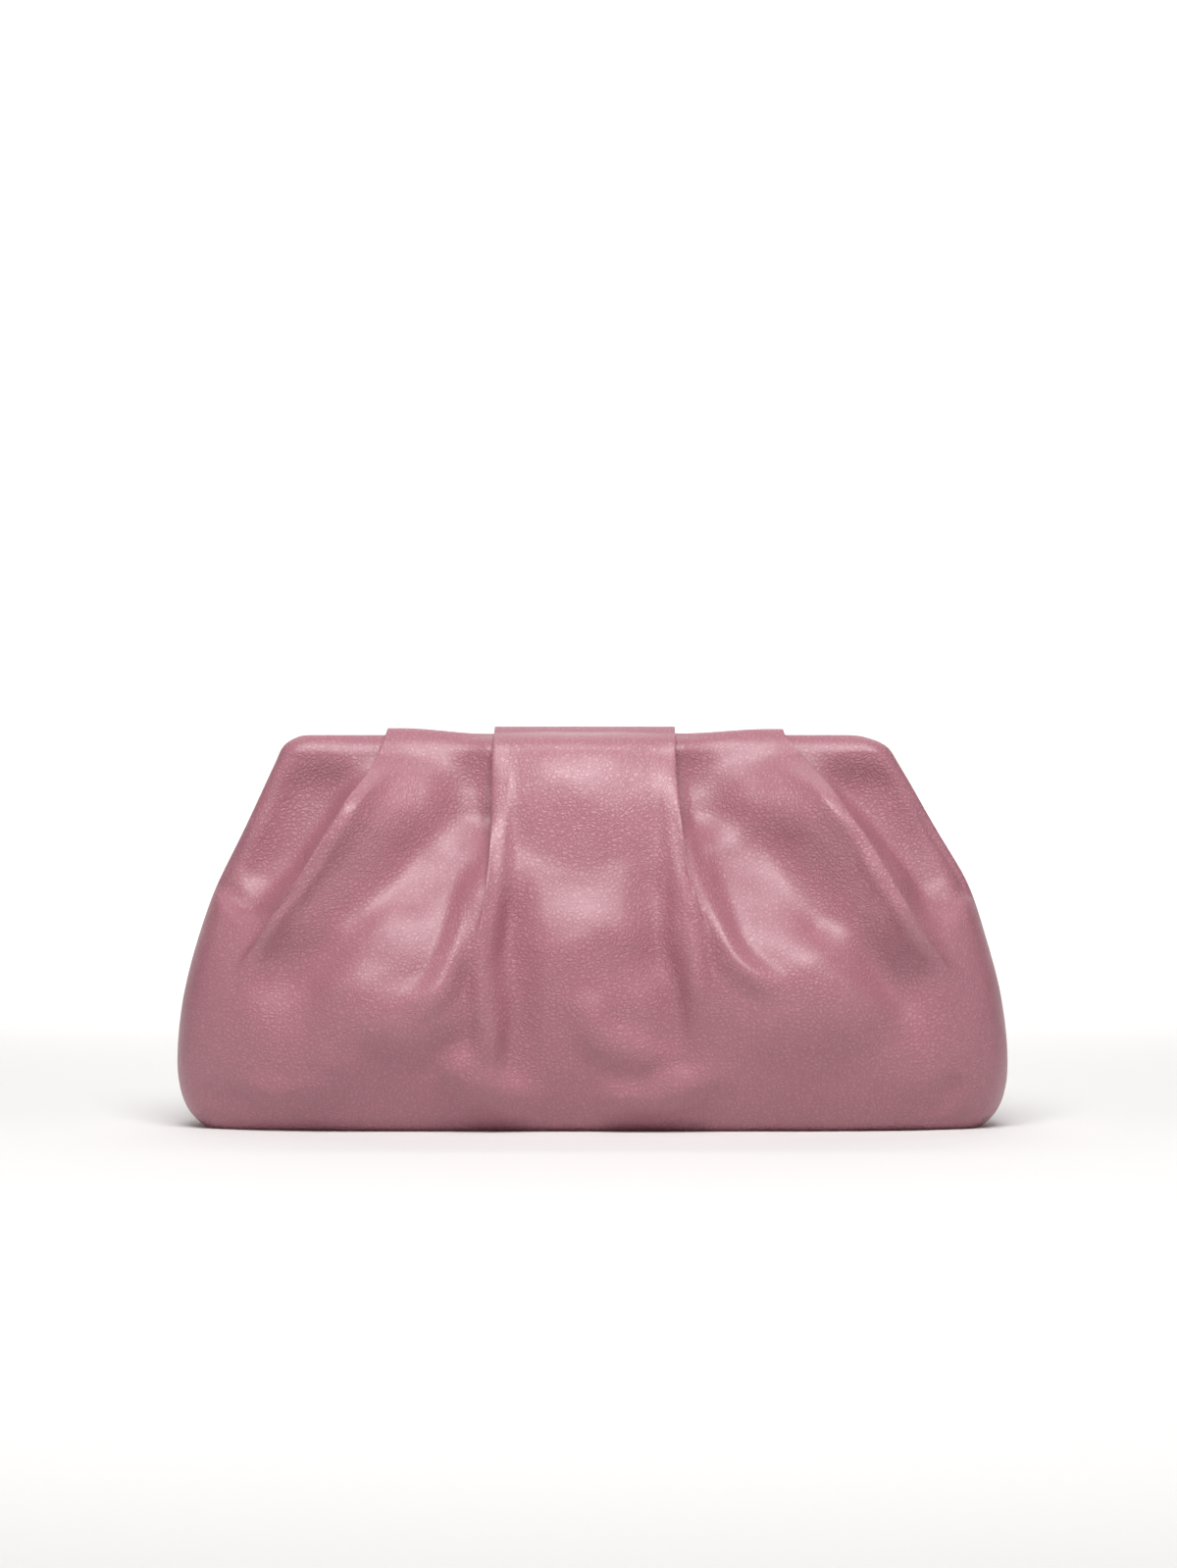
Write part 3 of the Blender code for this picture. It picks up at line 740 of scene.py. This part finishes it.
def slack_tree():
    """A tree that ripples a surface along its normal and gives it a material."""
    tree = bpy.data.node_groups.new("skin_slack", "GeometryNodeTree")
    face = tree.interface
    face.new_socket("Skin", in_out="INPUT", socket_type="NodeSocketGeometry")
    for name in ("Ripple height", "Ripple size", "Seed"):
        face.new_socket(name, in_out="INPUT", socket_type="NodeSocketFloat")
    face.new_socket("Finish", in_out="INPUT", socket_type="NodeSocketMaterial")
    face.new_socket("Skin", in_out="OUTPUT", socket_type="NodeSocketGeometry")
    given = tree.nodes.new("NodeGroupInput").outputs
    out = tree.nodes.new("NodeGroupOutput")

    noise = add_node(tree, "ShaderNodeTexNoise", {"noise_dimensions": "4D"}, W=given["Seed"],
                     Scale=calculate(tree, "DIVIDE", 1.0, given["Ripple size"]), Detail=1.5)
    centred = calculate(tree, "SUBTRACT", noise.outputs["Fac"], 0.5)
    loose = add_node(tree, "GeometryNodeInputNamedAttribute", {"data_type": "FLOAT"},
                     Name="loose")
    held = calculate(tree, "MULTIPLY", centred, loose.outputs["Attribute"])
    lift = calculate(tree, "MULTIPLY", held, given["Ripple height"])
    normal = add_node(tree, "GeometryNodeInputNormal")
    offset = add_node(tree, "ShaderNodeVectorMath", {"operation": "SCALE"},
                      Vector=normal.outputs["Normal"], Scale=lift)
    moved = add_node(tree, "GeometryNodeSetPosition", Geometry=given["Skin"],
                     Offset=offset.outputs["Vector"])
    real = add_node(tree, "GeometryNodeRealizeInstances", Geometry=moved.outputs["Geometry"])
    done = add_node(tree, "GeometryNodeSetMaterial", Geometry=real.outputs["Geometry"],
                    Material=given["Finish"])
    tree.links.new(done.outputs["Geometry"], out.inputs["Skin"])
    return tree


def apply_tree(piece, tree, **inputs):
    """Run a tree on a piece with named inputs, and keep the result as a plain mesh."""
    modifier = piece.modifiers.new(tree.name, "NODES")
    modifier.node_group = tree
    for socket in tree.interface.items_tree:
        name = socket.name.lower().replace(" ", "_")
        if socket.in_out == "INPUT" and name in inputs:
            modifier[socket.identifier] = inputs[name]
    graph = bpy.context.evaluated_depsgraph_get()
    result = bpy.data.meshes.new_from_object(
        piece.evaluated_get(graph), preserve_all_data_layers=True, depsgraph=graph)
    piece.modifiers.remove(modifier)
    piece.data = result
    result.name = piece.name


slack = slack_tree()
for seed, half in enumerate((front_leather, back_leather), start=FIRST_SEED):
    apply_tree(half, slack, ripple_height=RIPPLE_HEIGHT, ripple_size=RIPPLE_SIZE,
               seed=float(seed), finish=leather)
    print(half.name, "uses", [slot.material.name for slot in half.material_slots])

# %% [markdown]
# ## Hand the halves to the CAD frame
# Each fine half rides on the part's one body and stands for its coarse CAD shell, which is hidden.

# %% Replace the coarse shells
for half, node in ((front_leather, "front_panel"), (back_leather, "back_panel")):
    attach(half, "root")
    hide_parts(node)
    print(half.name, "stands for", node)

# %% [markdown]
# ## Spring steel
# The frame inside the rim is drawn steel wire with a ground, lightly oiled surface. Its
# CAD shape is right, so it keeps its mesh and only gets this material: a grey metal
# with fine streaks in its gloss. It shows only to someone who looks between the lips.

# %% Spring steel material
STREAK = 0.0006
STREAK_STRETCH = 0.08
STREAK_DEPTH = 0.00001


def spring_steel():
    """Ground spring steel: metallic, roughness 0.25 to 0.4 in fine streaks."""
    made, tree, out = new_material("spring steel, ground")
    place = add_node(tree, "ShaderNodeTexCoord").outputs["Object"]
    long = add_node(tree, "ShaderNodeMapping", Vector=place,
                    Scale=(STREAK_STRETCH, 1.0, 1.0))
    streaks = add_node(tree, "ShaderNodeTexNoise", Vector=long.outputs["Vector"],
                       Scale=1.0 / STREAK, Detail=3.0)
    gloss = add_node(tree, "ShaderNodeMapRange", Value=streaks.outputs["Fac"],
                     To_Min=0.25, To_Max=0.40)
    scratch = add_node(tree, "ShaderNodeBump", Height=streaks.outputs["Fac"],
                       Distance=STREAK_DEPTH, Strength=0.4)
    shader = add_node(tree, "ShaderNodeBsdfPrincipled", Base_Color=colour("#a9acb1"),
                      Metallic=1.0, Roughness=gloss.outputs["Result"],
                      Normal=scratch.outputs["Normal"])
    tree.links.new(shader.outputs["BSDF"], out.inputs["Surface"])
    return made


steel = spring_steel()
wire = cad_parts["closure_frame"]
for slot in wire.material_slots:
    slot.material = steel
print("closure_frame uses", [slot.material.name for slot in wire.material_slots])

# %% [markdown]
# ## The studio
# The bag stands on white seamless paper that curves up behind it, as in a product shoot.
# The sweep is one bent sheet. It is marked as stage, so it isn't part of the object.

# %% Paper sweep
SWEEP_WIDTH = 6.0
SWEEP_FRONT = -3.0
SWEEP_BACK = 1.6
SWEEP_ROUND = 0.8
SWEEP_TOP = 3.0
SWEEP_STEPS = 17


def paper_sweep():
    """Floor and backdrop as one sheet with a round bend between them."""
    line = [(SWEEP_FRONT, 0.0)]
    for turn in np.linspace(0.0, math.pi / 2, SWEEP_STEPS):
        line.append((SWEEP_BACK + SWEEP_ROUND * math.sin(turn),
                     SWEEP_ROUND * (1.0 - math.cos(turn))))
    line.append((SWEEP_BACK + SWEEP_ROUND, SWEEP_TOP))
    points = [(side * SWEEP_WIDTH / 2, y, z) for y, z in line for side in (-1, 1)]
    faces = [(2 * i, 2 * i + 1, 2 * i + 3, 2 * i + 2) for i in range(len(line) - 1)]
    mesh = bpy.data.meshes.new("paper_sweep")
    mesh.from_pydata(points, [], faces)
    mesh.shade_smooth()
    made, tree, out = new_material("seamless paper, white")
    shader = add_node(tree, "ShaderNodeBsdfPrincipled", Base_Color=colour("#e8e7e6"),
                      Roughness=0.9, Specular_IOR_Level=0.2)
    tree.links.new(shader.outputs["BSDF"], out.inputs["Surface"])
    mesh.materials.append(made)
    sweep = bpy.data.objects.new("paper_sweep", mesh)
    bpy.context.collection.objects.link(sweep)
    return sweep


sweep = paper_sweep()
sweep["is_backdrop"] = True
print("Paper sweep faces:", len(sweep.data.polygons))

# %% [markdown]
# ## Light
# One soft box hangs high in front of the bag: it lights the top of each swell and
# leaves the underside of each fold dark. A box on either side draws a line of light down
# the edges of the pleats and rounds the ends. A very weak front box opens the shadows,
# one lamp behind whitens the paper, and a pale world fills the rest.

# %% Lights and world
BAG_AIM = (0.0, 0.0, 0.06)
PAPER_AIM = (0.0, 2.2, 0.6)
SoftBox = namedtuple("SoftBox", "name place aim size power")
SOFT_BOXES = (
    SoftBox("overhead_box", (0.0, -0.58, 0.86), BAG_AIM, (0.70, 0.35), 11.0),
    SoftBox("front_box", (0.0, -1.60, 0.50), BAG_AIM, (1.0, 1.0), 0.1),
    SoftBox("left_box", (-0.95, -0.38, 0.42), BAG_AIM, (0.8, 0.8), 1.8),
    SoftBox("right_box", (0.95, -0.38, 0.42), BAG_AIM, (0.8, 0.8), 1.8),
    SoftBox("paper_box", (0.0, 0.90, 1.60), PAPER_AIM, (2.5, 0.5), 60.0),
)
FILL_STRENGTH = 0.05


def hang(box):
    """A rectangular area light at its place, turned to face its aim."""
    lamp = bpy.data.lights.new(box.name, "AREA")
    lamp.shape = "RECTANGLE"
    lamp.size, lamp.size_y = box.size
    lamp.energy = box.power
    hung = bpy.data.objects.new(box.name, lamp)
    hung.location = box.place
    view = Vector(box.aim) - Vector(box.place)
    hung.rotation_euler = view.to_track_quat("-Z", "Y").to_euler()
    bpy.context.collection.objects.link(hung)


for box in SOFT_BOXES:
    hang(box)
world = bpy.data.worlds.new("studio_fill")
world.use_nodes = True
fill = world.node_tree.nodes["Background"].inputs
fill["Color"].default_value = (1.0, 1.0, 1.0, 1.0)
fill["Strength"].default_value = FILL_STRENGTH
bpy.context.scene.world = world
bpy.context.scene.view_settings.view_transform = "Standard"
print("Lights:", [light.name for light in bpy.data.lights])

# %% [markdown]
# ## Camera
# The photograph looks at the bag from straight ahead with a long lens, level with its
# top. One pixel of its 1200 by 1599 frame is 0.342 mm at the bag, which sets how far an
# 85 mm lens has to stand away.

# %% Camera
LENS = 85.0
SENSOR = 36.0
PIXEL = 0.000342
FRAME_WIDTH = 1200
FRAME_HEIGHT = 1599
BAG_MIDDLE_PIXEL = 604.5
GROUND_PIXEL = 1147.0
distance = FRAME_HEIGHT * PIXEL * LENS / SENSOR
lens = bpy.data.cameras.new("camera")
lens.lens = LENS
lens.sensor_width = SENSOR
lens.dof.use_dof = False
camera = bpy.data.objects.new("camera", lens)
camera.location = ((FRAME_WIDTH / 2 - BAG_MIDDLE_PIXEL) * PIXEL, -distance,
                   (GROUND_PIXEL - FRAME_HEIGHT / 2) * PIXEL)
camera.rotation_euler = (math.pi / 2, 0.0, 0.0)
bpy.context.collection.objects.link(camera)
bpy.context.scene.camera = camera
print("Camera stands", round(distance, 3), "m away")

# %% [markdown]
# ## The size of the dressed bag
# Both boxes, the CAD one and the dressed one, are printed in millimetres. The
# dressed bag may stand only a little outside its CAD box.

# %% Size of the dressed bag
boxes = {"cad": cad_box, "dressed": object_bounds()}
plain = {name: [[float(value) for value in corner] for corner in box]
         for name, box in boxes.items()}
for name, (low, high) in plain.items():
    print(name, "box is", [round((b - a) * 1000, 1) for a, b in zip(low, high)], "mm")
